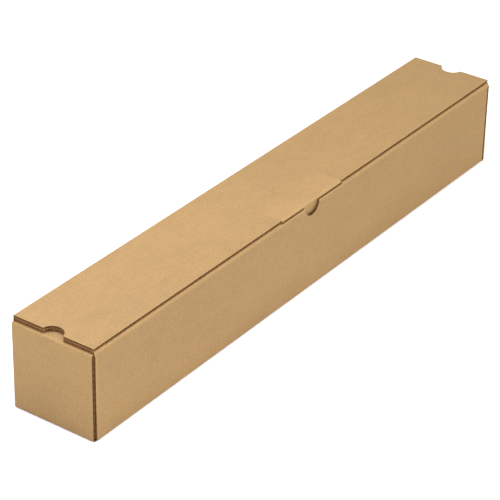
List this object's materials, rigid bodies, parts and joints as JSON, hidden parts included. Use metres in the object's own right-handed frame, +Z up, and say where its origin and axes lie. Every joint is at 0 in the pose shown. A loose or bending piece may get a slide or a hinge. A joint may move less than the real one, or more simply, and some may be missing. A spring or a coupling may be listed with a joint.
{
  "type": "cardboard poster case",
  "caption": "Long corrugated-board case for a rolled poster, folded from one sheet, with a hinged lid whose tongue tucks into a slit in the front fold.",
  "frame": {"origin": "centre of the base, on the surface the case stands on", "axes": "+X along the case, +Y from the front wall with the tongue to the rear wall with the lid's hinge, +Z up"},
  "size_m": [0.626, 0.088, 0.0915],
  "materials": {
    "kraft_board": "matt unbleached kraft liner on fluted board, with raw cut edges"
  },
  "bodies": {
    "case": {"folded_case": "kraft_board"},
    "lid": {"lid": "kraft_board"}
  },
  "joints": [
    {"name": "lid_hinge", "type": "hinge", "parent": "case", "child": "lid", "pos_m": [0, 0.044, 0.0915], "axis": [-1, 0, 0], "range_deg": [0, 180]}
  ]
}
